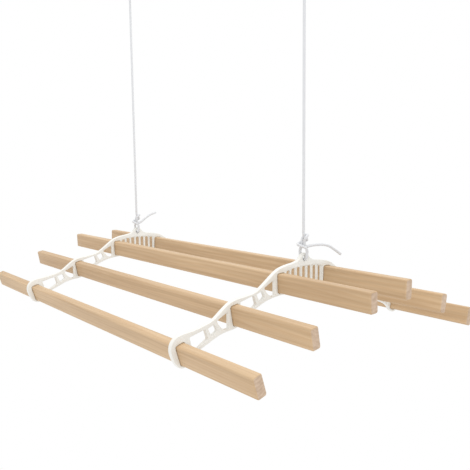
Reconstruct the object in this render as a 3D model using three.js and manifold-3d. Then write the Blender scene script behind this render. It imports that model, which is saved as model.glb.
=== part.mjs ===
// Six-lath clothes drying rack that hangs from the ceiling on two ropes over pulleys.
// Millimetres. +X runs along the laths, +Y goes from front to back, +Z is up.
// The origin is on the ceiling, midway between the two pulleys.

import * as THREE from 'three';
import { mergeVertices } from 'three/addons/utils/BufferGeometryUtils.js';
import Module from 'manifold-3d';

const wasm = await Module();
wasm.setup();

// ---------------------------------------------------------------- driving dimensions

const GAP = 0.3; // clearance between pieces that touch

const LATH_LENGTH = 1000;
const LATH_HEIGHT = 34;
const LATH_THICKNESS = 17;
const LATH_EDGE_RADIUS = 3.5;

const EYE_DROP = 640; // ceiling to the middle of each rack end's rope eye
const EYE_ABOVE_LATHS = 37; // rope eye above the middle of the two top laths
const RACK_Z = -EYE_DROP - EYE_ABOVE_LATHS; // middle height of the two top laths
const RACK_END_X = 293; // each rack end, from the middle of the object
const CASTING_DEPTH = 8;
const WALL = 5; // thickness of the cast walls round a lath

// Front three laths, outermost first: y, height below the top pair, outward lean in degrees.
const LATH_SEATS = [
  { y: -265, drop: 82, lean: 17 },
  { y: -159.5, drop: 39, lean: 10 },
  { y: -57.7, drop: 0, lean: 2 },
];
// How far each lath is pushed through the rack ends, front to back.
const LATH_SHIFTS = [-27, -28, -6, -26, -25, -35];

const ROPE_RADIUS = 2.5;
const ROPE_SIDES = 8;

const GROOVE_RADIUS = 17;
const SHEAVE_RADIUS = 23;
const SHEAVE_WIDTH = 11;
const HUB_WIDTH = 12;
const AXLE_RADIUS = 3;
const SHEAVE_DROP = 38; // ceiling to the axle
const ROPE_TURN = GROOVE_RADIUS + 3 * GAP + ROPE_RADIUS; // axle to the middle of the rope
const SHEAVE_PITCH = 16; // between the two grooves of the double pulley
const CHEEK = 3;

const PLATE_THICKNESS = 5;
const PLATE_LENGTH = 96;
const PLATE_WIDTH = 34;
const SCREW_SPACING = 72;
const SCREW_RADIUS = 2.2;
const SCREW_HEAD_RADIUS = 4.6;

const STOP_DROP = 66; // ceiling to the underside of the rope stop
const STOP_THICKNESS = 4;
const HAUL_KNOT_RADIUS = 6.2;

const KNOT_RADIUS = 9.5;
const KNOT_LOW = 16; // knot above the eye, lowest and highest point
const KNOT_HIGH = 45;

// ---------------------------------------------------------------- materials

const pine = new THREE.MeshStandardMaterial({ color: 0xcfae82, roughness: 0.6, metalness: 0 });
const ivory = new THREE.MeshStandardMaterial({ color: 0xf2efe2, roughness: 0.35, metalness: 0 });
const cotton = new THREE.MeshStandardMaterial({ color: 0xe9e9ea, roughness: 0.9, metalness: 0 });
const steel = new THREE.MeshStandardMaterial({ color: 0xb9bbbd, roughness: 0.3, metalness: 1 });

// ---------------------------------------------------------------- solids

function toSolid(geometry) {
  const bare = new THREE.BufferGeometry();
  bare.setAttribute('position', geometry.getAttribute('position').clone());
  if (geometry.index) bare.setIndex(geometry.index.clone());
  const merged = mergeVertices(bare, 1e-4);
  const vertProperties = new Float32Array(merged.getAttribute('position').array);
  const triVerts = new Uint32Array(merged.index.array);
  return new wasm.Manifold(new wasm.Mesh({ numProp: 3, vertProperties, triVerts }));
}

function toGeometry(solid) {
  const mesh = solid.getMesh();
  const geometry = new THREE.BufferGeometry();
  geometry.setAttribute('position', new THREE.BufferAttribute(mesh.vertProperties, 3));
  geometry.setIndex(new THREE.BufferAttribute(mesh.triVerts, 1));
  return geometry;
}

function cutFrom(body, cutters) {
  return cutters.reduce((solid, cutter) => solid.subtract(toSolid(cutter)), body);
}

function joined(pieces) {
  return pieces.map(toSolid).reduce((solid, piece) => solid.add(piece));
}

// Turns a shape drawn in the Y-Z plane into a slab of the given depth, centred on x = 0.
function slab(shape, depth, curveSegments = 4) {
  const geometry = new THREE.ExtrudeGeometry(shape, { depth, bevelEnabled: false, curveSegments });
  geometry.translate(0, 0, -depth / 2);
  const turn = new THREE.Matrix4().set(0, 0, 1, 0, 1, 0, 0, 0, 0, 1, 0, 0, 0, 0, 0, 1);
  return geometry.applyMatrix4(turn);
}

function polygon(points) {
  return new THREE.Shape(points.map(([y, z]) => new THREE.Vector2(y, z)));
}

function roundedRectangle(width, height, radius) {
  const w = width / 2;
  const h = height / 2;
  const shape = new THREE.Shape();
  shape.moveTo(-w + radius, -h);
  shape.lineTo(w - radius, -h);
  shape.absarc(w - radius, -h + radius, radius, -Math.PI / 2, 0);
  shape.absarc(w - radius, h - radius, radius, 0, Math.PI / 2);
  shape.absarc(-w + radius, h - radius, radius, Math.PI / 2, Math.PI);
  shape.absarc(-w + radius, -h + radius, radius, Math.PI, Math.PI * 1.5);
  return shape;
}

function rod(radius, length, axis, segments = 16) {
  const geometry = new THREE.CylinderGeometry(radius, radius, length, segments);
  if (axis === 'x') geometry.rotateZ(Math.PI / 2);
  if (axis === 'z') geometry.rotateX(Math.PI / 2);
  return geometry;
}

// ---------------------------------------------------------------- the assembly

const rack = new THREE.Group();

function place(name, geometry, material, x = 0, y = 0, z = 0) {
  const mesh = new THREE.Mesh(geometry, material);
  mesh.name = name;
  mesh.position.set(x, y, z);
  rack.add(mesh);
  return mesh;
}

// All six seats: the three front ones and their mirror images.
const seats = LATH_SEATS.concat(
  LATH_SEATS.toReversed().map(({ y, drop, lean }) => ({ y: -y, drop, lean: -lean })),
);

// ---------------------------------------------------------------- laths

seats.forEach(({ y, drop, lean }, i) => {
  const section = roundedRectangle(LATH_THICKNESS, LATH_HEIGHT, LATH_EDGE_RADIUS);
  const lath = place(`lath_${i + 1}`, slab(section, LATH_LENGTH), pine, LATH_SHIFTS[i], y, RACK_Z - drop);
  lath.rotation.x = THREE.MathUtils.degToRad(lean);
});

// ---------------------------------------------------------------- rack ends

// A seat's hole, or with a wall added the cast collar round it.
function seatSlab({ y, drop, lean }, wall, depth) {
  const radius = LATH_EDGE_RADIUS + wall;
  const section = roundedRectangle(LATH_THICKNESS + 2 * wall, LATH_HEIGHT + 2 * wall, radius);
  const geometry = slab(section, depth, 3);
  geometry.rotateX(THREE.MathUtils.degToRad(lean));
  return geometry.translate(0, y, -drop);
}

const ARCH_TOP = 33; // top of the arch between the two top laths
const EYE_RADIUS = 5;
const HUMP_RADIUS = 10;
const FOOT = -21; // underside below the two top laths

// Half of the casting, from the middle out along the top, round the outermost lath and back below.
function webHalf(side) {
  const shape = new THREE.Shape();
  const at = (y, z) => new THREE.Vector2(side * y, z);
  shape.moveTo(side * -1, ARCH_TOP);
  shape.splineThru([at(22, 32.5), at(42, 30.5), at(56, 27.5), at(66, 24), at(76, 18.5)]);
  shape.splineThru([at(90, 8.5), at(104, -1), at(114, -6.5), at(126, -9.5), at(146, -12)]);
  shape.splineThru([at(160, -13.5), at(171, -16), at(180, -21), at(191, -29), at(202, -37)]);
  shape.splineThru([at(211, -41.5), at(222, -44.5), at(246, -49.5)]);
  shape.splineThru([at(264, -50.5), at(277, -54.5), at(285, -63), at(287, -73), at(284, -85), at(279, -95)]);
  shape.splineThru([at(272, -102.5), at(263, -104.5), at(254, -100), at(248, -91)]);
  shape.splineThru([at(236, -83), at(225, -79), at(213, -74), at(203, -70), at(194, -66.5), at(183, -64)]);
  shape.splineThru([at(160, -61), at(149, -56), at(137, -46.5), at(124, -39.5), at(112, -34), at(102, -30)]);
  shape.splineThru([at(92, -26.5), at(81, -24), at(66, -22), at(60, FOOT)]);
  shape.lineTo(side * -1, FOOT);
  return slab(shape, CASTING_DEPTH, 2);
}

// Openings between one lath and the next one in, drawn for lath 2 and moved in for lath 3.
const WEB_OPENINGS = [
  [[252, -58.5], [222, -51.5], [217, -68], [232, -76.5], [244, -86]],
  [[216.5, -51], [203, -47], [198, -58], [209, -65.5]],
  [[177, -32], [198.5, -42], [196, -48], [189, -56], [181, -59.5], [174.5, -58.5], [174.5, -34]],
];
const INNER_OPENINGS_OFFSET = [-101.8, 39];

function webOpenings(side) {
  const cutters = [];
  for (const points of WEB_OPENINGS) {
    for (const [dy, dz] of [[0, 0], INNER_OPENINGS_OFFSET]) {
      const moved = points.map(([y, z]) => [side * (y + dy), z + dz]);
      cutters.push(slab(polygon(moved), 2 * CASTING_DEPTH));
    }
  }
  return cutters;
}

// The comb: seven upright slots under the arch.
const SLOT_PITCH = 13.4;
const SLOT_WIDTH = 9.4;
const COMB_DEPTH = 4; // the bars between the slots are thinner than the casting's rim
const SLOT_TOP = 23;
const SLOT_FOOT = -15;

function combSlots() {
  const slots = [];
  for (let i = -3; i <= 3; i += 1) {
    const top = SLOT_TOP - 0.35 * i * i;
    const slot = roundedRectangle(SLOT_WIDTH, top - SLOT_FOOT, 3);
    const geometry = slab(slot, 2 * CASTING_DEPTH, 2);
    slots.push(geometry.translate(0, i * SLOT_PITCH, (top + SLOT_FOOT) / 2));
  }
  return slots;
}

// Shallow recesses on both faces that leave the comb thinner than its rim.
function combRecesses() {
  const outline = polygon([
    [-45.4, SLOT_FOOT], [45.4, SLOT_FOOT], [45.4, 19], [30, 22], [0, SLOT_TOP + 1], [-30, 22], [-45.4, 19],
  ]);
  return [-1, 1].map((side) => {
    const recess = slab(outline, CASTING_DEPTH);
    return recess.translate(side * (COMB_DEPTH / 2 + CASTING_DEPTH / 2), 0, 0);
  });
}

function eyeHump() {
  const gable = polygon([
    [-24, ARCH_TOP - 6], [24, ARCH_TOP - 6], [24, ARCH_TOP - 2], [8.5, 43], [-8.5, 43], [-24, ARCH_TOP - 2],
  ]);
  const crown = rod(HUMP_RADIUS, CASTING_DEPTH, 'x', 24).translate(0, 0, EYE_ABOVE_LATHS);
  return [slab(gable, CASTING_DEPTH), crown];
}

function rackEnd() {
  const collars = seats.slice(1, -1).map((seat) => seatSlab(seat, WALL, CASTING_DEPTH));
  const body = joined([webHalf(-1), webHalf(1), ...collars, ...eyeHump()]);
  const holes = seats.map((seat) => seatSlab(seat, GAP, 2 * CASTING_DEPTH));
  const eye = rod(EYE_RADIUS, 2 * CASTING_DEPTH, 'x').translate(0, 0, EYE_ABOVE_LATHS);
  const openings = [...webOpenings(-1), ...webOpenings(1)];
  return toGeometry(cutFrom(body, [...openings, ...combRecesses(), ...combSlots(), ...holes, eye]));
}

place('rack_end_left', rackEnd(), ivory, -RACK_END_X, 0, RACK_Z);
place('rack_end_right', rackEnd(), ivory, RACK_END_X, 0, RACK_Z);

// ---------------------------------------------------------------- pulleys

// Pulley positions: the axle stands to the right of the rope that it carries.
const LEFT_AXLE_X = -RACK_END_X + ROPE_TURN;
const RIGHT_AXLE_X = RACK_END_X + ROPE_TURN;
const HAUL_X = RIGHT_AXLE_X + ROPE_TURN;

// Five lightening holes go through the web between a sheave's hub and its rim.
const WEB_HOLES = 5;
const WEB_HOLE_RADIUS = 2.4;
const WEB_RADIUS = 10.5;

function sheave() {
  const w = SHEAVE_WIDTH / 2;
  const bore = AXLE_RADIUS + GAP;
  const profile = [
    [bore, -HUB_WIDTH / 2], [7, -HUB_WIDTH / 2], [7, -3], [14, -3], [16, -w], [SHEAVE_RADIUS, -w],
    [GROOVE_RADIUS, -1.5], [GROOVE_RADIUS, 1.5],
    [SHEAVE_RADIUS, w], [16, w], [14, 3], [7, 3], [7, HUB_WIDTH / 2], [bore, HUB_WIDTH / 2],
    [bore, -HUB_WIDTH / 2],
  ];
  const wheel = toSolid(new THREE.LatheGeometry(profile.map(([r, y]) => new THREE.Vector2(r, y)), 30));
  const holes = [];
  for (let i = 0; i < WEB_HOLES; i += 1) {
    const a = (i / WEB_HOLES) * 2 * Math.PI;
    const hole = rod(WEB_HOLE_RADIUS, 2 * SHEAVE_WIDTH, 'y', 12);
    holes.push(hole.translate(WEB_RADIUS * Math.cos(a), 0, WEB_RADIUS * Math.sin(a)));
  }
  return toGeometry(cutFrom(wheel, holes));
}

// A cheek plate: wide where it meets the base plate, round about the axle.
function cheek(y, foot = []) {
  const shape = new THREE.Shape();
  shape.moveTo(-17, -PLATE_THICKNESS + 1);
  shape.lineTo(-8, -SHEAVE_DROP);
  shape.absarc(0, -SHEAVE_DROP, 8, Math.PI, foot.length ? Math.PI * 1.4 : Math.PI * 2);
  foot.forEach(([x, z]) => shape.lineTo(x, z));
  if (!foot.length) shape.lineTo(8, -SHEAVE_DROP);
  shape.lineTo(17, -PLATE_THICKNESS + 1);
  const geometry = new THREE.ExtrudeGeometry(shape, { depth: CHEEK, bevelEnabled: false, curveSegments: 8 });
  geometry.rotateX(Math.PI / 2);
  return geometry.translate(0, y + CHEEK / 2, 0);
}

function basePlate(width) {
  const shape = roundedRectangle(PLATE_LENGTH, width, 15);
  const geometry = new THREE.ExtrudeGeometry(shape, {
    depth: PLATE_THICKNESS, bevelEnabled: false, curveSegments: 8,
  });
  return geometry.translate(0, 0, -PLATE_THICKNESS);
}

function screwHoles() {
  return [-1, 1].map((side) => {
    const hole = rod(SCREW_RADIUS + GAP, 4 * PLATE_THICKNESS, 'z');
    return hole.translate((side * SCREW_SPACING) / 2, 0, 0);
  });
}

function axleHole(y, z) {
  return rod(AXLE_RADIUS + GAP, 4 * PLATE_WIDTH, 'y').translate(0, y, z);
}

function axle(length) {
  const head = 1.8;
  const headRadius = 5;
  const half = length / 2;
  const profile = [
    [0, -half - head], [headRadius - 1, -half - head], [headRadius, -half],
    [AXLE_RADIUS, -half], [AXLE_RADIUS, half], [headRadius, half], [headRadius - 1, half + head],
    [0, half + head],
  ];
  return new THREE.LatheGeometry(profile.map(([r, y]) => new THREE.Vector2(r, y)), 16);
}

// A pan-head wood screw below its plate, with its thread's core going up into the ceiling joist.
function screw() {
  const top = PLATE_THICKNESS - GAP;
  const under = -PLATE_THICKNESS - GAP;
  const profile = [
    [0, under - 3], [2.4, under - 3], [SCREW_HEAD_RADIUS - 0.8, under - 2], [SCREW_HEAD_RADIUS, under],
    [SCREW_RADIUS, under], [SCREW_RADIUS, top - PLATE_THICKNESS], [0, top - PLATE_THICKNESS],
  ];
  const points = profile.map(([r, z]) => new THREE.Vector2(r, z));
  return new THREE.LatheGeometry(points, 14).rotateX(Math.PI / 2);
}

function placeScrews(name, x, y) {
  [-1, 1].forEach((side, i) => {
    place(`${name}_screw_${i + 1}`, screw(), steel, x + (side * SCREW_SPACING) / 2, y, 0);
  });
}

// Single pulley, over the left rack end.
const CHEEK_CLEARANCE = 1;
const SINGLE_CHEEK_Y = HUB_WIDTH / 2 + CHEEK_CLEARANCE + CHEEK / 2;
const singleBody = joined([basePlate(PLATE_WIDTH), cheek(-SINGLE_CHEEK_Y), cheek(SINGLE_CHEEK_Y)]);
const singleFrame = cutFrom(singleBody, [...screwHoles(), axleHole(0, -SHEAVE_DROP)]);
place('single_pulley_frame', toGeometry(singleFrame), ivory, LEFT_AXLE_X);
place('single_pulley_sheave', sheave(), ivory, LEFT_AXLE_X, 0, -SHEAVE_DROP);
place('single_pulley_axle', axle(2 * SINGLE_CHEEK_Y + CHEEK + 2 * GAP), steel, LEFT_AXLE_X, 0, -SHEAVE_DROP);
placeScrews('single_pulley', LEFT_AXLE_X, 0);

// Double pulley, over the right rack end: two sheaves on one axle, and a rope stop on the haul side.
const DOUBLE_Y = SHEAVE_PITCH / 2; // middle of the two grooves; the near rope's groove is at y = 0
const DOUBLE_CHEEK_Y = SHEAVE_PITCH / 2 + SINGLE_CHEEK_Y;
const STOP_ARM = [[ROPE_TURN - 9, -STOP_DROP], [ROPE_TURN + 9, -STOP_DROP], [ROPE_TURN + 9, -STOP_DROP + 9]];
const stopPlate = new THREE.BoxGeometry(18, 2 * DOUBLE_CHEEK_Y, STOP_THICKNESS);
stopPlate.translate(ROPE_TURN, 0, -STOP_DROP + STOP_THICKNESS / 2);
const doubleBody = joined([
  basePlate(PLATE_WIDTH + SHEAVE_PITCH),
  cheek(-DOUBLE_CHEEK_Y, STOP_ARM),
  cheek(DOUBLE_CHEEK_Y, STOP_ARM),
  stopPlate,
]);
const ropeHoles = [-1, 1].map((side) => {
  const hole = rod(ROPE_RADIUS + 2 * GAP, 3 * STOP_THICKNESS, 'z');
  return hole.translate(ROPE_TURN, (side * SHEAVE_PITCH) / 2, -STOP_DROP);
});
const doubleFrame = cutFrom(doubleBody, [...screwHoles(), axleHole(0, -SHEAVE_DROP), ...ropeHoles]);
place('double_pulley_frame', toGeometry(doubleFrame), ivory, RIGHT_AXLE_X, DOUBLE_Y);
place('double_pulley_sheave_front', sheave(), ivory, RIGHT_AXLE_X, 0, -SHEAVE_DROP);
place('double_pulley_sheave_back', sheave(), ivory, RIGHT_AXLE_X, SHEAVE_PITCH, -SHEAVE_DROP);
const doubleAxle = axle(2 * DOUBLE_CHEEK_Y + CHEEK + 2 * GAP);
place('double_pulley_axle', doubleAxle, steel, RIGHT_AXLE_X, DOUBLE_Y, -SHEAVE_DROP);
placeScrews('double_pulley', RIGHT_AXLE_X, DOUBLE_Y);

// ---------------------------------------------------------------- ropes

// A rope through the given points, [x, y, z], as a plain eight-sided tube.
function rope(points, steps, tension = 0.5) {
  const vectors = points.map(([x, y, z]) => new THREE.Vector3(x, y, z));
  const extrudePath = new THREE.CatmullRomCurve3(vectors, false, 'catmullrom', tension);
  const section = new THREE.Shape();
  for (let i = 0; i < ROPE_SIDES; i += 1) {
    const a = (i / ROPE_SIDES) * 2 * Math.PI;
    const [x, y] = [ROPE_RADIUS * Math.cos(a), ROPE_RADIUS * Math.sin(a)];
    if (i) section.lineTo(x, y);
    else section.moveTo(x, y);
  }
  return new THREE.ExtrudeGeometry(section, { steps, extrudePath, bevelEnabled: false });
}

function uprightRope(x, y, low, high) {
  return rod(ROPE_RADIUS, high - low, 'z', ROPE_SIDES).translate(x, y, (low + high) / 2);
}

// Points on the rope's arc over a sheave; 0 degrees is its +X side and 90 its top.
function turnPoints(axleX, y, fromDegrees, toDegrees, count) {
  const points = [];
  for (let i = 0; i <= count; i += 1) {
    const a = THREE.MathUtils.degToRad(fromDegrees + ((toDegrees - fromDegrees) * i) / count);
    points.push([axleX + ROPE_TURN * Math.cos(a), y, -SHEAVE_DROP + ROPE_TURN * Math.sin(a)]);
  }
  return points;
}

const EYE_Z = -EYE_DROP;
const KNOT_TOP_Z = EYE_Z + KNOT_HIGH;

// Rising ropes, from each knot to its sheave; they shorten as the rack goes up.
place('left_rope_rise', uprightRope(-RACK_END_X, 0, KNOT_TOP_Z + GAP, -SHEAVE_DROP - 3 * GAP), cotton);
place('right_rope_rise', uprightRope(RACK_END_X, 0, KNOT_TOP_Z + GAP, -SHEAVE_DROP - 3 * GAP), cotton);

// The left rope turns over the single sheave, runs level to the double pulley and turns down again.
const RUN_Z = -SHEAVE_DROP + ROPE_TURN;
const RUN_START = [LEFT_AXLE_X + 3 * GAP, 0, RUN_Z];
const RUN_END = [RIGHT_AXLE_X - 3 * GAP, SHEAVE_PITCH, RUN_Z];
place('left_rope_turn', rope(turnPoints(LEFT_AXLE_X, 0, 180, 90, 6), 9), cotton);
place('left_rope_run', rope([RUN_START, RUN_END], 24), cotton);
place('left_rope_far_turn', rope(turnPoints(RIGHT_AXLE_X, SHEAVE_PITCH, 90, 0, 6), 9), cotton);
place('right_rope_turn', rope(turnPoints(RIGHT_AXLE_X, 0, 180, 0, 12), 18), cotton);

// Hauling ends: short ropes down through the stop, each with a stopper knot below it.
const HAUL_LOW = -STOP_DROP - 1;
const haulKnot = () => {
  const r = HAUL_KNOT_RADIUS;
  const profile = [
    [0, 0], [ROPE_RADIUS, 0], [r * 0.8, -2.4], [r, -r], [r * 0.8, -r * 1.7], [ROPE_RADIUS, -2 * r],
    [ROPE_RADIUS, -2 * r - 22], [0, -2 * r - 22],
  ];
  const points = profile.toReversed().map(([x, z]) => new THREE.Vector2(x, z));
  return new THREE.LatheGeometry(points, 16).rotateX(Math.PI / 2);
};
[['right', 0], ['left', SHEAVE_PITCH]].forEach(([side, y]) => {
  place(`${side}_rope_haul`, uprightRope(HAUL_X, y, HAUL_LOW + GAP, -SHEAVE_DROP - 3 * GAP), cotton);
  place(`${side}_haul_knot`, haulKnot(), cotton, HAUL_X, y, HAUL_LOW);
});

// Rack knots: each rope's loop goes through the eye and comes up both sides of the casting.
function eyeKnot() {
  const r = KNOT_RADIUS;
  const h = KNOT_HIGH - KNOT_LOW;
  const profile = [[0, 0], [r * 0.75, 0], [r, h * 0.3], [r * 0.85, h * 0.65], [ROPE_RADIUS + 1, h], [0, h]];
  return new THREE.LatheGeometry(profile.map(([x, z]) => new THREE.Vector2(x, z)), 16).rotateX(Math.PI / 2);
}

function eyeLoop() {
  const out = CASTING_DEPTH / 2 + ROPE_RADIUS + 1.5;
  return rope([
    [-7.2, 0, KNOT_LOW - 1], [-7.8, 0, KNOT_LOW - 3.5], [-out, 0, 8.5], [-out, 0, 4], [-out + 3, 0, -1],
    [0, 0, -1.6],
    [out - 3, 0, -1], [out, 0, 4], [out, 0, 8.5], [7.8, 0, KNOT_LOW - 3.5], [7.2, 0, KNOT_LOW - 1],
  ], 18);
}

const TAILS = {
  left: [[0, 8.6, 39], [3, 22, 43], [6, 36, 46], [8, 52, 47]],
  right: [[2, 9.8, 25], [4, 26, 25.5], [7, 44, 24], [10, 60, 20], [13, 74, 12], [15, 90, 1]],
};
[['left', -RACK_END_X], ['right', RACK_END_X]].forEach(([side, x]) => {
  place(`${side}_eye_loop`, eyeLoop(), cotton, x, 0, EYE_Z);
  place(`${side}_rope_knot`, eyeKnot(), cotton, x, 0, EYE_Z + KNOT_LOW);
  place(`${side}_rope_tail`, rope(TAILS[side], side === 'left' ? 6 : 10), cotton, x, 0, EYE_Z);
});

export default rack;
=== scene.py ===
import math

import bmesh
import bpy
from mathutils import Matrix, Vector


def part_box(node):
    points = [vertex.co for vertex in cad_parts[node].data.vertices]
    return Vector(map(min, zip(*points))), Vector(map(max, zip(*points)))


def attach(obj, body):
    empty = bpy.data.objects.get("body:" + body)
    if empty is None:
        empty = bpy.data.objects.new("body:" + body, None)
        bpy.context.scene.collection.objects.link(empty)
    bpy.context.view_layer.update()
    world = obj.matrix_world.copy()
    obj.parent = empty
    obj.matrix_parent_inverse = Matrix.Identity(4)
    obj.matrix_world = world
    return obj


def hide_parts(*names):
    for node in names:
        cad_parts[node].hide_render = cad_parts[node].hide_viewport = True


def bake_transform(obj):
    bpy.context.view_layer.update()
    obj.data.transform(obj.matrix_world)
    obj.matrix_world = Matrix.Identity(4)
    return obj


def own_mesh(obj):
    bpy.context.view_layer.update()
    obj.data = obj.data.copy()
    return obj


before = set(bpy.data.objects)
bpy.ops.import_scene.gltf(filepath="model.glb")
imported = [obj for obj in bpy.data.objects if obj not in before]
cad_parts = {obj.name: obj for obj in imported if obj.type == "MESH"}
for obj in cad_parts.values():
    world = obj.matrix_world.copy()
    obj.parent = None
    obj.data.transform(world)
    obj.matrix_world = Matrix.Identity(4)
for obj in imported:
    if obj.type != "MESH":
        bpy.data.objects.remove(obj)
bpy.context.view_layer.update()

# ---------------------------------------------------------------- viewpoint
# The rack is seen from its front right corner and a little above it, with its near end on the right.
# A 45.6 mm lens on a 36 mm frame gives the strong taper from the near laths to the far ones.

EYE_POINT = Vector((1.0282, -0.7571, -0.4698))
HEADING = math.radians(50.78)
LOOK_DOWN = math.radians(6.94)
CAMERA_ROLL = math.radians(-0.61)
LENS = 45.57
FILM_WIDTH = 36.0
NEAREST_SEEN = 0.05


def in_scene(name, data):
    """A new object that holds the data, linked into the scene."""
    thing = bpy.data.objects.new(name, data)
    bpy.context.scene.collection.objects.link(thing)
    return thing


forward = Vector((
    -math.sin(HEADING) * math.cos(LOOK_DOWN),
    math.cos(HEADING) * math.cos(LOOK_DOWN),
    -math.sin(LOOK_DOWN),
))
level_right = forward.cross(Vector((0, 0, 1))).normalized()
level_up = level_right.cross(forward)
camera_right = math.cos(CAMERA_ROLL) * level_right + math.sin(CAMERA_ROLL) * level_up
camera_up = -math.sin(CAMERA_ROLL) * level_right + math.cos(CAMERA_ROLL) * level_up
camera_data = bpy.data.cameras.new("viewpoint")
camera_data.lens = LENS
camera_data.sensor_width = FILM_WIDTH
camera_data.clip_start = NEAREST_SEEN
camera = in_scene("viewpoint", camera_data)
axes = Matrix((camera_right, camera_up, -forward)).transposed()
camera.matrix_world = Matrix.Translation(EYE_POINT) @ axes.to_4x4()
bpy.context.scene.camera = camera

# ---------------------------------------------------------------- rising ropes
# Two white cotton cords of 5 mm, plaited from twelve ends, go straight up from the rack ends to the
# pulleys. Each is one curve that a node tree clothes with raised stitches.

ROPE_RADIUS = 0.0025
STITCHES_ROUND = 6
STITCH_LENGTH = 0.0034
STITCH_RELIEF = 0.00042
MIDDLE_HEIGHT = 0.62
CORD_STEP = 0.00045
CORD_SIDES = 36
RACK_X = sum(c[0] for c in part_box("right_rope_rise")) / 2
SIDES = (("left", -RACK_X), ("right", RACK_X))
EYE_Z = -0.640
AXLE_Z = -0.038
ROPE_TURN = 0.0204
ROPE_TOP = AXLE_Z - 0.0009


def feed(tree, socket, source):
    """Links the input to another node's output, or gives it a fixed value."""
    if isinstance(source, bpy.types.NodeSocket):
        tree.links.new(source, socket)
    else:
        socket.default_value = source


def connect(tree, node, **inputs):
    """Feeds the node's inputs by name; an underscore stands for a space in a name."""
    for name, source in inputs.items():
        feed(tree, node.inputs[name.replace("_", " ")], source)
    return node


def new_node(tree, kind, **inputs):
    return connect(tree, tree.nodes.new(kind), **inputs)


def worked(tree, kind, operation, *values):
    """A node that works out the operation on the values."""
    node = tree.nodes.new(kind)
    node.operation = operation
    for socket, value in zip(node.inputs, values):
        feed(tree, socket, value)
    return node


def new_material(name, **inputs):
    """A material whose shader takes the given values, with its node tree and its shader."""
    material = bpy.data.materials.new(name)
    material.use_nodes = True
    tree = material.node_tree
    return material, tree, connect(tree, tree.nodes["Principled BSDF"], **inputs)


def noise(tree, vector, scale, detail):
    return new_node(tree, "ShaderNodeTexNoise", Vector=vector, Scale=scale, Detail=detail)


def shaded(tree, value, low, high, dark, light):
    """A ramp from the dark colour at the low value to the light one at the high value."""
    ramp = new_node(tree, "ShaderNodeValToRGB", Fac=value)
    for element, position, colour in zip(ramp.color_ramp.elements, (low, high), (dark, light)):
        element.position = position
        element.color = (*colour, 1)
    return ramp


def multiplied(tree, colour, layer, amount):
    mix = tree.nodes.new("ShaderNodeMix")
    mix.data_type = "RGBA"
    mix.blend_type = "MULTIPLY"
    return connect(tree, mix, Factor=amount, A=colour, B=layer).outputs["Result"]


def raised(tree, height, strength, distance, **below):
    """The normal of a surface raised by the height, on top of the bump below."""
    bump = new_node(tree, "ShaderNodeBump", Height=height, Strength=strength, Distance=distance, **below)
    return bump.outputs["Normal"]


def cotton_material():
    material, tree, shader = new_material("braided_cotton", Roughness=0.88, Sheen_Weight=0.35,
                                          Sheen_Roughness=0.5)
    stitch = tree.nodes.new("ShaderNodeAttribute")
    stitch.attribute_name = "stitch"
    # The low parts between the stitches are painted darker: painted shade in the grooves of the plait, on a
    # cord that is white all over.
    shade = shaded(tree, stitch.outputs["Fac"], 0, 0.62, (0.42, 0.43, 0.45), (0.80, 0.81, 0.83))
    place = tree.nodes.new("ShaderNodeTexCoord")
    fibres = noise(tree, place.outputs["Object"], 2600, 3).outputs["Fac"]
    connect(tree, shader, Base_Color=multiplied(tree, shade.outputs["Color"], fibres, 0.22),
            Normal=raised(tree, fibres, 0.35, 0.0002))
    return material


COTTON = cotton_material()


def new_tree(name, *sockets):
    """A tree for geometry that also takes the sockets, each a name, a kind and its usual value."""
    tree = bpy.data.node_groups.new(name, "GeometryNodeTree")
    face = tree.interface
    face.new_socket("Geometry", in_out="INPUT", socket_type="NodeSocketGeometry")
    for title, kind, value in sockets:
        socket = face.new_socket(title, in_out="INPUT", socket_type=f"NodeSocket{kind}")
        if value is not None:
            socket.default_value = value
    face.new_socket("Geometry", in_out="OUTPUT", socket_type="NodeSocketGeometry")
    return tree, tree.nodes.new("NodeGroupInput"), tree.nodes.new("NodeGroupOutput")


def painted(tree, geometry, given, result):
    """Ends the tree: the geometry is made real, takes the given material and goes out."""
    realize = new_node(tree, "GeometryNodeRealizeInstances", Geometry=geometry)
    paint = new_node(tree, "GeometryNodeSetMaterial", Geometry=realize.outputs["Geometry"],
                     Material=given.outputs["Material"])
    connect(tree, result, Geometry=paint.outputs["Geometry"])


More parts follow.
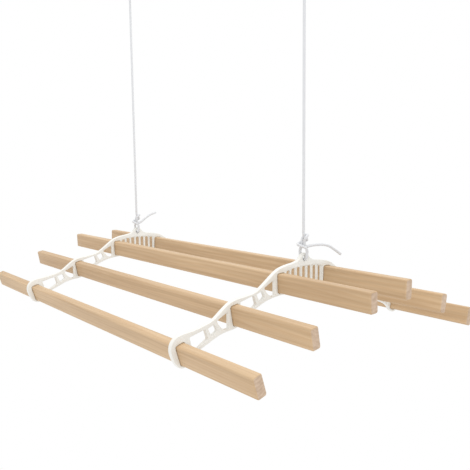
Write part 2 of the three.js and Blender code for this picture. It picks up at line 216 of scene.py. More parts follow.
def rope_tree():
    """Clothes a curve with a plaited cord: stitches lean left and right in turn round it and along it."""
    tree, given, result = new_tree(
        "plaited_cord", ("Radius", "Float", ROPE_RADIUS), ("Stitch length", "Float", STITCH_LENGTH),
        ("Relief", "Float", STITCH_RELIEF), ("Material", "Material", None))

    def number(operation, *values):
        return worked(tree, "ShaderNodeMath", operation, *values).outputs[0]

    def captured(curve, output):
        """The curve with a number kept along it, and that number."""
        capture = tree.nodes.new("GeometryNodeCaptureAttribute")
        capture.capture_items.new("FLOAT", "value")
        parameter = tree.nodes.new("GeometryNodeSplineParameter")
        connect(tree, capture, Geometry=curve, value=parameter.outputs[output])
        return capture.outputs["Geometry"], capture.outputs["value"]

    resample = tree.nodes.new("GeometryNodeResampleCurve")
    resample.mode = "LENGTH"
    connect(tree, resample, Curve=given.outputs["Geometry"], Length=CORD_STEP)
    line, along = captured(resample.outputs["Curve"], "Length")
    ring = new_node(tree, "GeometryNodeCurvePrimitiveCircle", Resolution=CORD_SIDES,
                    Radius=given.outputs["Radius"])
    section, around = captured(ring.outputs["Curve"], "Factor")
    sweep = new_node(tree, "GeometryNodeCurveToMesh", Curve=line, Profile_Curve=section, Fill_Caps=True)

    # Two families of leaning stitches; each shows where it passes over the other.
    steps = number("DIVIDE", along, given.outputs["Stitch length"])
    turns = number("MULTIPLY", around, STITCHES_ROUND)
    left = number("ADD", turns, steps)
    right = number("SUBTRACT", turns, steps)

    def ridge(value):
        across = number("SUBTRACT", number("MULTIPLY", number("FRACT", value), 2.0), 1.0)
        return number("SQRT", number("SUBTRACT", 1.0, number("MULTIPLY", across, across)))

    cells = number("ADD", number("FLOOR", left), number("FLOOR", right))
    over = number("FLOORED_MODULO", cells, 2.0)
    under = number("SUBTRACT", 1.0, over)
    crown = number("ADD", number("MULTIPLY", over, ridge(left)), number("MULTIPLY", under, ridge(right)))
    dip = number("ADD", number("MULTIPLY", over, ridge(right)), number("MULTIPLY", under, ridge(left)))
    height = number("MULTIPLY", crown, number("ADD", 0.55, number("MULTIPLY", dip, 0.45)))
    rise = number("MULTIPLY", number("SUBTRACT", height, MIDDLE_HEIGHT), given.outputs["Relief"])
    normal = tree.nodes.new("GeometryNodeInputNormal")
    push = worked(tree, "ShaderNodeVectorMath", "SCALE", normal.outputs["Normal"])
    connect(tree, push, Scale=rise)
    shift = new_node(tree, "GeometryNodeSetPosition", Geometry=sweep.outputs["Mesh"],
                     Offset=push.outputs["Vector"])
    # The stitch height is kept on the points. The cotton material uses it to paint the grooves between
    # stitches darker, as painted shade.
    store = tree.nodes.new("GeometryNodeStoreNamedAttribute")
    store.data_type = "FLOAT"
    store.domain = "POINT"
    connect(tree, store, Geometry=shift.outputs["Geometry"], Name="stitch", Value=height)
    smooth = new_node(tree, "GeometryNodeSetShadeSmooth", Geometry=store.outputs["Geometry"])
    painted(tree, smooth.outputs["Geometry"], given, result)
    return tree


ROPE_TREE = rope_tree()


def curve_through(points, per_span=12):
    """Points close together on a smooth line through the given ones, which may be unevenly spaced."""
    knots = [Vector(p) for p in points]
    knots = [2 * knots[0] - knots[1], *knots, 2 * knots[-1] - knots[-2]]
    line = []
    for a, b, c, d in zip(knots, knots[1:], knots[2:], knots[3:]):
        before, span, after = (b - a).length, (c - b).length, (d - c).length
        leaving = ((b - a) * span / before + (c - b) * before / span) / (before + span) * span
        arriving = ((c - b) * after / span + (d - c) * span / after) / (span + after) * span
        for i in range(per_span):
            t = i / per_span
            line.append((2 * t ** 3 - 3 * t * t + 1) * b + (t ** 3 - 2 * t * t + t) * leaving
                        + (3 * t * t - 2 * t ** 3) * c + (t ** 3 - t * t) * arriving)
    return line + [knots[-2]]


def set_inputs(modifier, **values):
    """Gives the inputs of a modifier's node tree their values, by name."""
    for item in modifier.node_group.interface.items_tree:
        if item.in_out == "INPUT" and item.name in values:
            modifier[item.identifier] = values[item.name]


def finished_mesh(thing):
    """The mesh that the object's modifiers leave."""
    return bpy.data.meshes.new_from_object(thing.evaluated_get(bpy.context.evaluated_depsgraph_get()))


def plaited(name, line):
    """A cord along the line, as a mesh."""
    curve = bpy.data.curves.new(name + "_line", "CURVE")
    curve.dimensions = "3D"
    spline = curve.splines.new("POLY")
    spline.points.add(len(line) - 1)
    for point, place in zip(spline.points, line):
        point.co = (*place, 1)
    holder = in_scene(name + "_line", curve)
    dress = holder.modifiers.new("cord", "NODES")
    dress.node_group = ROPE_TREE
    set_inputs(dress, Radius=ROPE_RADIUS, Material=COTTON)
    mesh = finished_mesh(holder)
    mesh.name = name
    bpy.data.objects.remove(holder)
    return in_scene(name, mesh)


rising = {}
for side, x in SIDES:
    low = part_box(f"{side}_rope_rise")[0][2]
    line = curve_through([(x, 0, ROPE_TOP), (x, 0, (2 * ROPE_TOP + low) / 3),
                          (x, 0, (ROPE_TOP + 2 * low) / 3), (x, 0, low)])
    rope = plaited(f"{side}_rope", line)
    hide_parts(f"{side}_rope_rise")
    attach(rope, "ceiling_fittings")
    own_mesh(rope)
    rising[side] = (rope, line)

# ---------------------------------------------------------------- knots at the rack ends
# Each cord goes down one face of the casting, through the eye and up the other, and ends in a bowline.
# The working end comes up through the nipping turn, goes round behind the standing part and down again.


def from_eye(x, places):
    """Places in millimetres from the eye of the rack end at x, in metres."""
    return [(x + p[0] / 1000, p[1] / 1000, EYE_Z + p[2] / 1000) for p in places]


def bowline(x):
    """Standing part, nipping turn, legs through the eye, and the working end until it leaves the turn."""
    return from_eye(x, [
        (0, 0, 45.6), (0.2, 0.3, 42), (1.2, 2.4, 37), (3, 5.4, 32.5), (-1, 6.6, 31), (-5.6, 4.6, 29),
        (-8.8, -0.8, 26.6), (-7.2, -6.8, 24.4), (-1.5, -8.2, 23.4), (4.8, -6.2, 21.8), (8.4, -2.2, 18.6),
        (8.8, 0, 13), (8.3, 0, 8), (8, 0, 3), (5.6, 0, -1.1), (0, 0, -2), (-5.6, 0, -1.1), (-8, 0, 3),
        (-8.3, -0.2, 8), (-8.2, -0.5, 13), (-5.8, -0.8, 18), (-3.5, -0.8, 23), (-3.3, -0.4, 29),
        (-4.6, 1.6, 34.5), (-4.2, 5.2, 38.6), (-0.4, 7.2, 41), (4, 6, 41.4), (6.5, 2, 39.6),
        (5.6, -1.6, 35.4), (3.4, -1.2, 30), (2.9, -0.6, 25.6), (3, 1, 22), (3.3, 4.6, 20.4),
    ])


# The near knot's tail droops, and the far knot's is kicked up a little.
TAILS = {
    "left": [(3.4, 9, 22.5), (4, 20, 30), (6, 36, 40), (8, 52, 45)],
    "right": [
        (3.6, 9, 21), (4, 18, 21.6), (5, 30, 21.6), (7, 44, 20.6), (9.4, 57, 17), (12, 70, 9),
        (14.6, 83, 0),
    ],
}
for side, x in SIDES:
    route = bowline(x)
    knot = plaited(f"{side}_bowline", curve_through(route, 8))
    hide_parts(f"{side}_eye_loop", f"{side}_rope_knot")
    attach(knot, "rack")
    tail_line = curve_through(route[-1:] + from_eye(x, TAILS[side]))
    tail = plaited(f"{side}_tail", tail_line)
    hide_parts(f"{side}_rope_tail")
    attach(tail, "rack")
    rope, rope_line = rising[side]

# ---------------------------------------------------------------- ropes over the pulleys
# The left cord turns over the single sheave, runs along the ceiling and goes down over the double pulley's
# back sheave. The right cord goes over its front sheave. Both pass the rope stop and end in stopper knots.

SHEAVE_PITCH = 0.016
LEFT_AXLE_X = -RACK_X + ROPE_TURN
RIGHT_AXLE_X = RACK_X + ROPE_TURN
HAUL_X = RIGHT_AXLE_X + ROPE_TURN
HAUL_MIDDLE_Z = -0.053
KNOT_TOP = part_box("left_haul_knot")[1][2]


def arc(radius, place, start, stop, count=12):
    angles = [math.radians(start + (stop - start) * i / count) for i in range(count + 1)]
    return [(place[0] + radius * math.cos(a), place[1] + radius * math.sin(a)) for a in angles]


def turn_over(axle_x, y, start, stop, count):
    return [(a, y, b) for a, b in arc(ROPE_TURN, (axle_x, AXLE_Z), start, stop, count)]


RUN_Z = AXLE_Z + ROPE_TURN
routes = {
    "left": [
        *turn_over(LEFT_AXLE_X, 0, 180, 90, 5),
        (LEFT_AXLE_X + 0.02, 0.0003, RUN_Z), (0, SHEAVE_PITCH / 2, RUN_Z),
        (RIGHT_AXLE_X - 0.02, SHEAVE_PITCH - 0.0003, RUN_Z),
        *turn_over(RIGHT_AXLE_X, SHEAVE_PITCH, 90, 0, 5),
        (HAUL_X, SHEAVE_PITCH, HAUL_MIDDLE_Z), (HAUL_X, SHEAVE_PITCH, KNOT_TOP),
    ],
    "right": [
        *turn_over(RIGHT_AXLE_X, 0, 180, 0, 10),
        (HAUL_X, 0, HAUL_MIDDLE_Z), (HAUL_X, 0, KNOT_TOP),
    ],
}


def stopper_line(x, y):
    """Three turns of cord round its own standing part, with a short tail below."""
    top = KNOT_TOP * 1000
    places = [(0, 0, top + 0.4), (0.8, 0.6, top - 1.2)]
    for i in range(21):
        angle = 2 * math.pi * i / 7
        radius = 4.3 if 1 < i < 19 else 3.2
        places.append((radius * math.cos(angle), radius * math.sin(angle), top - 2.6 - 9.6 * i / 20))
    places += [(1.5, -1, top - 15.5), (0.4, 0, top - 20), (0, 0.6, top - 27), (-0.6, 0.4, top - 34)]
    return [(x + p[0] / 1000, y + p[1] / 1000, p[2] / 1000) for p in places]


for side, y in (("right", 0), ("left", SHEAVE_PITCH)):
    stopper = plaited(f"{side}_stopper_knot", curve_through(stopper_line(HAUL_X, y)))
    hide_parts(f"{side}_haul_knot")
    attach(stopper, "haul_ends")
    line = curve_through(routes[side], 8)
    rope = plaited(f"{side}_rope_over", line)
    if side == "left":
        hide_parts("left_rope_turn", "left_rope_run", "left_rope_far_turn", "left_rope_haul")
    else:
        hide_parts("right_rope_turn", "right_rope_haul")
    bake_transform(rope)

# ---------------------------------------------------------------- laths
# Six planed pine laths on edge, 1 m long, with rounded arrises and a clear satin finish. They are pushed
# through the rack ends. The grain follows each board, and shows its rings on the sawn ends.

LATH_HEIGHT = 0.034
LATH_THICKNESS = 0.017
ARRIS = 0.0035
LATH_LEANS = (17, 10, 2, -2, -10, -17)
LATH_STEPS = 24
RINGS_PER_METRE = 210
# The sawn ends are eased: how far from the end, and how much the section is drawn in there.
END_EASING = ((0, 0.0014), (0.0004, 0.0007), (0.0010, 0.0002), (0.0018, 0))


def pine_material(name, early, late, tint):
    """Pine whose growth rings run along the board; the board attribute is a place in the log, in metres."""
    material, tree, shader = new_material(name, Coat_Weight=0.08, Coat_Roughness=0.35)
    board = tree.nodes.new("ShaderNodeAttribute")
    board.attribute_name = "board"

    def board_noise(stretch, detail):
        mapping = new_node(tree, "ShaderNodeMapping", Vector=board.outputs["Vector"], Scale=stretch)
        return noise(tree, mapping.outputs["Vector"], 1.0, detail)

    def vector(operation, *values):
        return worked(tree, "ShaderNodeVectorMath", operation, *values).outputs["Vector"]

    # Rings round the pith, which lies below the board, wavering by a few millimetres along it.
    sway = vector("MULTIPLY", board_noise((2.6, 22, 22), 2).outputs["Color"], (0, 0.026, 0.026))
    across = vector("MULTIPLY", vector("ADD", board.outputs["Vector"], sway), (0.012, 1, 1))
    reach = worked(tree, "ShaderNodeVectorMath", "LENGTH", across).outputs["Value"]
    rings = worked(tree, "ShaderNodeMath", "MULTIPLY", reach, RINGS_PER_METRE).outputs["Value"]
    band = worked(tree, "ShaderNodeMath", "FRACT", rings).outputs["Value"]
    ring_shade = shaded(tree, band, 0.20, 0.82, early, late)
    ring_shade.color_ramp.elements.new(1.0).color = (*early, 1)

    # Fine fibres, broader streaks, and slow changes of tone along the board.
    fibre = board_noise((16, 1500, 1500), 4).outputs["Fac"]
    streak = board_noise((3.0, 130, 130), 3).outputs["Fac"]
    tone = board_noise((2.4, 26, 26), 2).outputs["Fac"]
    colour = ring_shade.outputs["Color"]
    for layer in (
        shaded(tree, fibre, 0.34, 0.60, (0.92, 0.90, 0.88), (1, 1, 1)),
        shaded(tree, streak, 0.34, 0.66, (0.86, 0.83, 0.80), (1.04, 1.03, 1.03)),
        shaded(tree, tone, 0.30, 0.70, (0.92, 0.89, 0.87), tint),
    ):
        colour = multiplied(tree, colour, layer.outputs["Color"], 1.0)
    gloss = new_node(tree, "ShaderNodeMapRange", Value=fibre, To_Min=0.62, To_Max=0.46)
    connect(tree, shader, Base_Color=colour, Roughness=gloss.outputs["Result"],
            Normal=raised(tree, fibre, 0.22, 0.0002))
    return material


PINE = pine_material("satin_pine", (0.632, 0.464, 0.283), (0.598, 0.422, 0.245), (1.03, 1.03, 1.03))
SAWN_PINE = pine_material("sawn_pine_end", (0.640, 0.500, 0.375), (0.575, 0.434, 0.315),
                          (1.0, 0.99, 0.97))


def written(build, mesh):
    """The mesh with the built faces, all turned outward."""
    bmesh.ops.recalc_face_normals(build, faces=build.faces)
    build.to_mesh(mesh)
    build.free()
    return mesh


def lath_section(inset):
    """The rounded section, drawn in by inset, as (y, z) points."""
    radius = ARRIS - inset * 0.5
    points = []
    for corner in range(4):
        middle_y = (LATH_THICKNESS / 2 - inset - radius) * (1 if corner in (0, 3) else -1)
        middle_z = (LATH_HEIGHT / 2 - inset - radius) * (1 if corner < 2 else -1)
        for i in range(9):
            angle = math.pi / 2 * (corner + i / 8)
            points.append((middle_y + radius * math.cos(angle), middle_z + radius * math.sin(angle)))
    return points


def lath(name, node, lean, seed):
    """One board: rings of section points along X, drawn in a little at each end, with flat sawn ends."""
    low, high = (Vector(c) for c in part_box(node))
    centre = (low + high) / 2
    half = (high.x - low.x) / 2
    stations = [(-half + run, inset) for run, inset in END_EASING]
    stations += [(-half + 2 * half * i / LATH_STEPS, 0) for i in range(1, LATH_STEPS)]
    stations += [(half - run, inset) for run, inset in reversed(END_EASING)]
    build = bmesh.new()
    turn = Matrix.Rotation(lean, 3, "X")
    in_log = Vector((seed * 1.37, 0.030 * math.sin(seed * 2.1), 0.075 + 0.030 * math.cos(seed * 1.7)))
    board = build.verts.layers.float_vector.new("board")
    rings = []
    for x, inset in stations:
        ring = []
        for y, z in lath_section(inset):
            vert = build.verts.new(centre + turn @ Vector((x, y, z)))
            vert[board] = Vector((x, y, z)) + in_log
            ring.append(vert)
        rings.append(ring)
    count = len(rings[0])
    for a, b in zip(rings, rings[1:]):
        for i in range(count):
            build.faces.new((a[i], a[(i + 1) % count], b[(i + 1) % count], b[i])).smooth = True
    for end in (rings[0], list(reversed(rings[-1]))):
        build.faces.new(end).material_index = 1
    mesh = written(build, bpy.data.meshes.new(name))
    mesh.materials.append(PINE)
    mesh.materials.append(SAWN_PINE)
    piece = in_scene(name, mesh)
    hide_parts(node)
    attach(piece, "rack")


for i, lean_degrees in enumerate(LATH_LEANS):
    lath(f"pine_lath_{i + 1}", f"lath_{i + 1}", math.radians(lean_degrees), i + 3)

# ---------------------------------------------------------------- castings
# The two rack ends and the two pulley frames are iron, each cast in one piece with softened edges. They
# are coated in ivory paint, which leaves a faint orange peel over the grain of the casting sand.


def paint_material(name, colour):
    material, tree, shader = new_material(name, Coat_Weight=0.25, Coat_Roughness=0.25)
    place = tree.nodes.new("ShaderNodeTexCoord").outputs["Object"]
    tone = noise(tree, place, 35, 4).outputs["Fac"]
    peel = noise(tree, place, 900, 2).outputs["Fac"]
    sand = noise(tree, place, 220, 3).outputs["Fac"]
    shade = shaded(tree, tone, 0.3, 0.7, [c * 0.95 for c in colour], colour)
    gloss = new_node(tree, "ShaderNodeMapRange", Value=sand, To_Min=0.30, To_Max=0.46)
    grain = raised(tree, sand, 0.25, 0.0004)
    connect(tree, shader, Base_Color=shade.outputs["Color"], Roughness=gloss.outputs["Result"],
            Normal=raised(tree, peel, 0.15, 0.0001, Normal=grain))
    return material


IVORY = paint_material("ivory_paint", (0.83, 0.82, 0.775))


def plate(name, loops, depth, edge):
    """A cast plate in the plane of its loops, outline first and then holes, with rounded edges."""
    curve = bpy.data.curves.new(name, "CURVE")
    curve.dimensions = "2D"
    curve.fill_mode = "BOTH"
    curve.extrude = depth / 2 - edge
    curve.bevel_depth = edge
    curve.bevel_resolution = 3
    curve.offset = -edge
    for loop in loops:
        spline = curve.splines.new("POLY")
        spline.points.add(len(loop) - 1)
        for point, (a, b) in zip(spline.points, loop):
            point.co = (a, b, 0, 1)
        spline.use_cyclic_u = True
    holder = in_scene(name, curve)
    mesh = finished_mesh(holder)
    bpy.data.objects.remove(holder)
    build = bmesh.new()
    build.from_mesh(mesh)
    bmesh.ops.remove_doubles(build, verts=build.verts, dist=1e-6)
    return written(build, mesh)


def turned(mesh, across, up, place=(0, 0, 0)):
    """The mesh with its own x and y laid along the two directions, at the place."""
    across, up = Vector(across), Vector(up)
    axes = Matrix((across, up, across.cross(up))).transposed().to_4x4()
    mesh.transform(Matrix.Translation(place) @ axes)
    return mesh


def cast_piece(name, meshes, cuts, material):
    """One closed casting joined from several plates, with the cuts taken away."""
    first, *others = meshes
    piece = in_scene(name, first)
    tools = []
    for operation, group in (("UNION", others), ("DIFFERENCE", cuts)):
        for mesh in group:
            tool = in_scene("tool", mesh)
            tools.append(tool)
            step = piece.modifiers.new("step", "BOOLEAN")
            step.operation = operation
            step.solver = "EXACT"
            step.object = tool
    weigh = piece.modifiers.new("flat faces", "WEIGHTED_NORMAL")
    weigh.mode = "FACE_AREA_WITH_ANGLE"
    bpy.context.view_layer.update()
    mesh = finished_mesh(piece)
    piece.modifiers.clear()
    piece.data = mesh
    mesh.materials.clear()
    mesh.materials.append(material)
    mesh.polygons.foreach_set("use_smooth", [True] * len(mesh.polygons))
    for tool in tools:
        bpy.data.objects.remove(tool)
    return piece


def rounded(points, radius, steps=5):
    """The polygon with its corners rounded, less where its sides are short."""
    loop = []
    corners = [Vector(p) for p in points]
    for before, corner, after in zip(corners[-1:] + corners, corners, corners[1:] + corners[:1]):
        cut = min(radius, 0.42 * (before - corner).length, 0.42 * (after - corner).length)
        start = corner + (before - corner).normalized() * cut
        end = corner + (after - corner).normalized() * cut
        for i in range(steps + 1):
            t = i / steps
            loop.append(tuple((1 - t) ** 2 * start + 2 * t * (1 - t) * corner + t * t * end))
    return loop


def slot_outline(width, height, radius, place=(0, 0), lean=0.0):
    """A rounded rectangle about the place, leaning."""
    w, h = width / 2, height / 2
    turn = Matrix.Rotation(lean, 2)
    corners = [Vector(place) + turn @ Vector(c) for c in ((-w, -h), (w, -h), (w, h), (-w, h))]
    return rounded(corners, radius)


def circle(radius, place=(0, 0), count=24):
    angles = [2 * math.pi * i / count for i in range(count)]
    return [(place[0] + radius * math.cos(a), place[1] + radius * math.sin(a)) for a in angles]


# Rack ends, in millimetres from the middle of the two top laths: outline of one half from the crown out
# along the top, round the outermost lath's ring and back along the bottom.
HALF_OUTLINE = [
    (0, 47), (5, 45.8), (8.8, 42.4), (12.5, 38.2), (18, 34.4), (27, 31.8), (42, 29.9), (56, 27.2), (66, 24),
    (76, 18.3), (90, 8.6), (104, -0.8), (114, -6.2), (126, -9.4), (146, -12), (160, -13.6), (171, -16.4),
    (180, -21.4), (191, -29), (202, -36.8), (211, -41.2), (222, -44.4), (234, -47.2), (248, -49.4),
    (264, -50.6), (277, -54.5), (285, -63), (287, -73), (284, -85), (279, -95), (272, -102.5), (263, -104.5),
    (254, -100.5), (246, -91), (236, -83.8), (225, -79), (213, -74), (203, -69.8), (194, -66.5), (183, -64),
    (170, -62.6), (160, -61), (149, -56), (137, -46.5), (124, -39.5), (112, -34), (102, -29.8), (92, -26.5),
    (81, -24), (66, -22), (50, -21), (30, -21),
]
EYE_ABOVE_LATHS = 37
EYE_RADIUS = 5
SEATS = ((265, -82, 17), (159.5, -39, 10), (57.7, 0, 2))
SEAT_WIDTH = 17.6
SEAT_HEIGHT = 34.6
SEAT_CORNER = 3.8
OPENINGS = (
    ((252, -58.5), (222, -51.5), (217, -68), (232, -76.5), (244, -86)),
    ((216.5, -51), (203, -47), (198, -58), (209, -65.5)),
    ((177, -31.5), (199, -42), (196, -48), (189, -56), (181, -59.5), (174.5, -58.8), (174.5, -33.5)),
)
OPENING_CORNER = 2.6
INNER_OFFSET = (-101.8, 39)
COMB = ((-45.4, -15), (45.4, -15), (45.4, 19), (30, 22), (0, 24), (-30, 22), (-45.4, 19))
COMB_CORNER = 3
COMB_OVERLAP = 3
COMB_STRETCH = 1.04
COMB_PITCH = 13.4
COMB_SLOT_WIDTH = 9.4
COMB_SLOT_CORNER = 4
COMB_SLOT_FOOT = -15.4
COMB_SLOT_TOP = 23
COMB_SLOT_FALL = 0.35
CAST_DEPTH = 0.008
CAST_EDGE = 0.0014
COMB_DEPTH = 0.004
COMB_EDGE = 0.0009


def metres(loop):
    return [(a / 1000, b / 1000) for a, b in loop]


def both_sides(loop):
    return [loop, [(-a, b) for a, b in reversed(loop)]]


def rack_end():
    half = curve_through([(a, b, 0) for a, b in HALF_OUTLINE], 4)
    outline = [(p.x, p.y) for p in half]
    outline += [(-a, b) for a, b in reversed(outline[1:])]
    holes = [rounded(COMB, COMB_CORNER), circle(EYE_RADIUS, (0, EYE_ABOVE_LATHS))]
    for across, up, lean in SEATS:
        seat = slot_outline(SEAT_WIDTH, SEAT_HEIGHT, SEAT_CORNER, (across, up), -math.radians(lean))
        holes += both_sides(seat)
    for opening in OPENINGS:
        for da, db in ((0, 0), INNER_OFFSET):
            holes += both_sides(rounded([(a + da, b + db) for a, b in opening], OPENING_CORNER))
    rim = plate("rim", [metres(loop) for loop in (outline, *holes)], CAST_DEPTH, CAST_EDGE)
    bars = [[(a * COMB_STRETCH, b + math.copysign(COMB_OVERLAP, b)) for a, b in COMB]]
    for i in range(-3, 4):
        top = COMB_SLOT_TOP - COMB_SLOT_FALL * i * i
        middle = (i * COMB_PITCH, (top + COMB_SLOT_FOOT) / 2)
        bars.append(slot_outline(COMB_SLOT_WIDTH, top - COMB_SLOT_FOOT, COMB_SLOT_CORNER, middle))
    comb = plate("comb", [metres(loop) for loop in bars], COMB_DEPTH, COMB_EDGE)
    return rim, comb


LATHS_Z = EYE_Z - EYE_ABOVE_LATHS / 1000
for side, x in SIDES:
    parts = [turned(mesh, (0, 1, 0), (0, 0, 1), (x, 0, LATHS_Z)) for mesh in rack_end()]
    casting = cast_piece(f"{side}_rack_casting", parts, [], IVORY)
    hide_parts(f"rack_end_{side}")
    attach(casting, "rack")

# ---------------------------------------------------------------- pulley frames
# A cast base plate goes up against the ceiling, and two cheeks hang from it and hold the axle between them.
# The double pulley's cheeks reach down on the haul side to a rope stop, with a hole for each cord.

SINGLE_WIDTH = 0.034
DOUBLE_WIDTH = 0.050
PLATE_LENGTH = 0.096
PLATE_THICKNESS = 0.005
PLATE_CORNER = 0.015
SCREW_SPACING = 0.072
SCREW_HOLE = 0.0025
CHEEK = 0.003
CHEEK_REACH = 0.017
CHEEK_FROM_MIDDLE = 0.0085
CHEEK_SINK = 0.0015
BOSS_RADIUS = 0.008
AXLE_HOLE = 0.0033
STOP_Z = -0.066
STOP_THICKNESS = 0.004
STOP_REACH = 0.009
STOP_HOLE = 0.0031


def pulley_frame(name, node, axle_x, y, width, stops):
    """Base plate, two cheeks and, where ropes have stops at the given y, the plate that stops them."""
    half = width / 2
    ends = (PLATE_LENGTH / 2 - PLATE_CORNER, half - PLATE_CORNER)
    outline = []
    for start, a, b in ((0, 1, 1), (90, -1, 1), (180, -1, -1), (270, 1, -1)):
        outline += arc(PLATE_CORNER, (a * ends[0], b * ends[1]), start, start + 90, 8)
    screws = [circle(SCREW_HOLE, (side * SCREW_SPACING / 2, 0)) for side in (-1, 1)]
    base = turned(plate("base", [outline, *screws], PLATE_THICKNESS, 0.0009), (1, 0, 0), (0, 1, 0),
                  (axle_x, y, -PLATE_THICKNESS / 2))
    meshes = [base]
    foot = -PLATE_THICKNESS + CHEEK_SINK
    if stops:
        near, far = ROPE_TURN - STOP_REACH, ROPE_TURN + STOP_REACH
        arm = rounded([(near, STOP_Z), (far, STOP_Z), (far, STOP_Z + STOP_REACH)], 0.0012)
        low_edge = [*arc(BOSS_RADIUS, (0, AXLE_Z), 180, 250), *arm]
    else:
        low_edge = arc(BOSS_RADIUS, (0, AXLE_Z), 180, 360)
    side_outline = [(-CHEEK_REACH, foot), *low_edge, (CHEEK_REACH, foot)]
    cheek_y = (width - SINGLE_WIDTH) / 2 + CHEEK_FROM_MIDDLE
    for side in (-1, 1):
        cheek = plate("cheek", [side_outline, circle(AXLE_HOLE, (0, AXLE_Z))], CHEEK, 0.0007)
        meshes.append(turned(cheek, (1, 0, 0), (0, 0, 1), (axle_x, y + side * cheek_y, 0)))
    if stops:
        reach = cheek_y + CHEEK / 2 - 0.0004
        corners = [(-STOP_REACH, -reach), (STOP_REACH, -reach), (STOP_REACH, reach), (-STOP_REACH, reach)]
        holes = [circle(STOP_HOLE, (0, rope_y - y)) for rope_y in stops]
        stop = plate("stop", [rounded(corners, 0.001), *holes], STOP_THICKNESS, 0.0008)
        place = (axle_x + ROPE_TURN, y, STOP_Z + STOP_THICKNESS / 2)
        meshes.append(turned(stop, (1, 0, 0), (0, 1, 0), place))
    piece = cast_piece(name, meshes, [], IVORY)
    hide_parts(node)
    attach(piece, "ceiling_fittings")


pulley_frame("single_pulley_casting", "single_pulley_frame", LEFT_AXLE_X, 0, SINGLE_WIDTH, ())
pulley_frame("double_pulley_casting", "double_pulley_frame", RIGHT_AXLE_X, SHEAVE_PITCH / 2, DOUBLE_WIDTH,
             (0, SHEAVE_PITCH))

# ---------------------------------------------------------------- sheaves
# Each pulley wheel is an iron casting with a rope groove, a thin web with five holes, and a hub.
# It is bored, painted like the frames, and turns on the steel axle.

HUB_WIDTH = 12
WEB_HOLES = 5
WEB_HOLE_RADIUS = 0.0024
WEB_HOLE_CIRCLE = 0.0105
SHEAVE_PROFILE = [
    (3.3, -6), (6.4, -6), (7, -5.4), (7.3, -3.4), (8.2, -3), (13, -3), (14.2, -3.6), (15.4, -5),
    (16.4, -5.5), (22.4, -5.5), (23, -5.1), (23, -4.6), (21.6, -3.9), (19, -2.8), (17.6, -2), (17, -1),
    (17, 0),
]


def turned_on_axle(name, profile, count, place):
    """A body of revolution about the Y axis: the profile is (radius, along) in millimetres."""
    build = bmesh.new()
    rings = []
    for radius, along in profile:
        ring = []
        for i in range(count):
            angle = 2 * math.pi * i / count
            point = Vector((radius * math.cos(angle), along, radius * math.sin(angle))) / 1000
            ring.append(build.verts.new(point + Vector(place)))
        rings.append(ring)
    on_axis = profile[0][0] == 0
    for a, b in zip(rings, rings[1:] + ([] if on_axis else rings[:1])):
        for i in range(count):
            build.faces.new((a[i], a[(i + 1) % count], b[(i + 1) % count], b[i]))
    bmesh.ops.remove_doubles(build, verts=build.verts, dist=1e-7)
    return written(build, bpy.data.meshes.new(name))


for node, body, axle_x, y in (
    ("single_pulley_sheave", "single_sheave", LEFT_AXLE_X, 0),
    ("double_pulley_sheave_front", "double_sheave_front", RIGHT_AXLE_X, 0),
    ("double_pulley_sheave_back", "double_sheave_back", RIGHT_AXLE_X, SHEAVE_PITCH),
):
    profile = SHEAVE_PROFILE + [(r, -a) for r, a in reversed(SHEAVE_PROFILE[:-1])]
    wheel = turned_on_axle(node, profile, 72, (axle_x, y, AXLE_Z))
    cuts = []
    for a, b in circle(WEB_HOLE_CIRCLE, (axle_x, AXLE_Z), WEB_HOLES):
        hole = plate("hole", [circle(WEB_HOLE_RADIUS)], HUB_WIDTH / 1000, 0.0001)
        cuts.append(turned(hole, (1, 0, 0), (0, 0, 1), (a, y, b)))
    sheave = cast_piece(f"{body}_wheel", [wheel], cuts, IVORY)
    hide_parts(node)
    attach(sheave, body)

# ---------------------------------------------------------------- axles
# Each axle is a zinc-plated steel pin through both cheeks and what turns between them.
# Its ends are riveted over to low domes, which hold it fast in the frame.

PULLEYS = (("single", LEFT_AXLE_X, 0), ("double", RIGHT_AXLE_X, SHEAVE_PITCH / 2))


def steel_material():
    material, tree, shader = new_material("zinc_steel", Metallic=1.0)
    place = tree.nodes.new("ShaderNodeTexCoord").outputs["Object"]
    spangle = new_node(tree, "ShaderNodeTexVoronoi", Vector=place, Scale=900)
    scuffs = noise(tree, place, 1500, 4).outputs["Fac"]
    shade = shaded(tree, spangle.outputs["Distance"], 0, 1, (0.50, 0.51, 0.53), (0.66, 0.67, 0.68))
    gloss = new_node(tree, "ShaderNodeMapRange", Value=scuffs, To_Min=0.24, To_Max=0.42)
    connect(tree, shader, Base_Color=shade.outputs["Color"], Roughness=gloss.outputs["Result"],
            Normal=raised(tree, scuffs, 0.2, 0.00005))
    return material


ZINC = steel_material()
for which, axle_x, y in PULLEYS:
    low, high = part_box(f"{which}_pulley_axle")
    half = 1000 * (high.y - low.y) / 2
    profile = [(0, -half), (2.2, -half + 0.15), (4.0, -half + 0.75), (4.9, -half + 1.45), (5, -half + 1.8),
               (3, -half + 1.8), (3, 0)]
    profile += [(r, -a) for r, a in reversed(profile[:-1])]
    body = turned_on_axle("pin", profile, 40, (axle_x, y, AXLE_Z))
    pin = cast_piece(f"{which}_axle_pin", [body], [], ZINC)
    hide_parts(f"{which}_pulley_axle")
    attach(pin, "ceiling_fittings")

# ---------------------------------------------------------------- ceiling screws
# Four zinc-plated pan-head wood screws hold the two base plates; each head has a cross recess.
# One screw is made, and a node tree sets a copy, turned its own way, at every hole.

RECESS_LENGTH = 0.0052
RECESS_WIDTH = 0.0011
RECESS_DEPTH = 0.0026
RECESS_Z = -0.0081
TURNS_SEED = 7

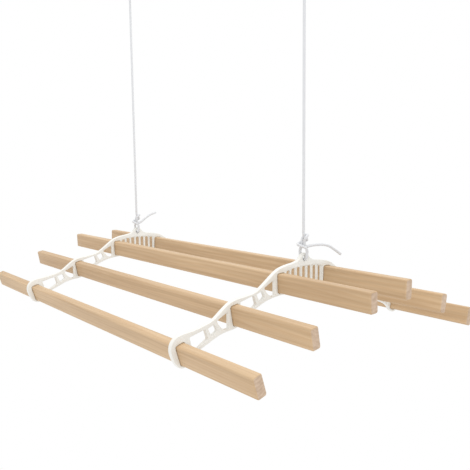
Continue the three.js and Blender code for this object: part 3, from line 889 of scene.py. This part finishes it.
head_profile = [(0, -8.3), (1.6, -8.25), (2.9, -7.95), (3.9, -7.3), (4.45, -6.4), (4.6, -5.6), (4.5, -5.3),
                (2.2, -5.3), (2.2, -0.3), (0, -0.3)]
screw_mesh = turned_on_axle("screw", head_profile, 36, (0, 0, 0))
screw_mesh.transform(Matrix.Rotation(math.pi / 2, 4, "X"))
recess = []
for along, up in (((1, 0, 0), (0, 1, 0)), ((0, 1, 0), (-1, 0, 0))):
    blade = plate("blade", [slot_outline(RECESS_LENGTH, RECESS_WIDTH, 0.0003)], RECESS_DEPTH, 0.0001)
    recess.append(turned(blade, along, up, (0, 0, RECESS_Z)))
screw = cast_piece("screw", [screw_mesh], recess, ZINC)


def screw_tree():
    """Sets a copy of the screw at every point, each turned its own way."""
    tree, given, result = new_tree("screws_at_holes", ("Screw", "Object", None), ("Seed", "Int", None),
                                   ("Material", "Material", None))
    info = new_node(tree, "GeometryNodeObjectInfo", Object=given.outputs["Screw"])
    turn = tree.nodes.new("FunctionNodeRandomValue")
    turn.data_type = "FLOAT_VECTOR"
    connect(tree, turn, Min=(0, 0, 0), Max=(0, 0, math.pi / 2), Seed=given.outputs["Seed"])
    stand = new_node(tree, "GeometryNodeInstanceOnPoints", Points=given.outputs["Geometry"],
                     Instance=info.outputs["Geometry"], Rotation=turn.outputs["Value"])
    painted(tree, stand.outputs["Instances"], given, result)
    return tree


holes = [(axle_x + side * SCREW_SPACING / 2, y, 0) for _, axle_x, y in PULLEYS for side in (-1, 1)]
hole_mesh = bpy.data.meshes.new("ceiling_screws")
hole_mesh.from_pydata(holes, [], [])
screws = in_scene("ceiling_screws", hole_mesh)
setting = screws.modifiers.new("set", "NODES")
setting.node_group = screw_tree()
set_inputs(setting, Screw=screw, Seed=TURNS_SEED, Material=ZINC)
bpy.context.view_layer.update()
set_screws = finished_mesh(screws)
screws.modifiers.clear()
screws.data = set_screws
bpy.data.objects.remove(screw)
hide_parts(*[f"{which}_pulley_screw_{i}" for which in ("single", "double") for i in (1, 2)])
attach(screws, "ceiling_fittings")

# ---------------------------------------------------------------- light and room
# The rack hangs in a white room with even light from all sides.
# A soft lamp overhead and a weaker one from the front give the laths and castings their shading.

world = bpy.data.worlds.new("studio")
world.use_nodes = True
world.node_tree.nodes["Background"].inputs["Color"].default_value = (1, 1, 1, 1)
world.node_tree.nodes["Background"].inputs["Strength"].default_value = 1.0
bpy.context.scene.world = world
bpy.context.scene.view_settings.view_transform = "Standard"


def soft_light(name, place, aim, size, power):
    data = bpy.data.lights.new(name, "AREA")
    data.shape = "DISK"
    data.size = size
    data.energy = power
    lamp = in_scene(name, data)
    lamp.location = place
    lamp.rotation_euler = (Vector(aim) - Vector(place)).to_track_quat("-Z", "Y").to_euler()


MIDDLE = (0, 0, -0.68)
soft_light("overhead", (0.2, 0.3, 1.6), MIDDLE, 2.0, 22)
soft_light("front", (1.6, -1.8, -0.2), MIDDLE, 1.4, 5)
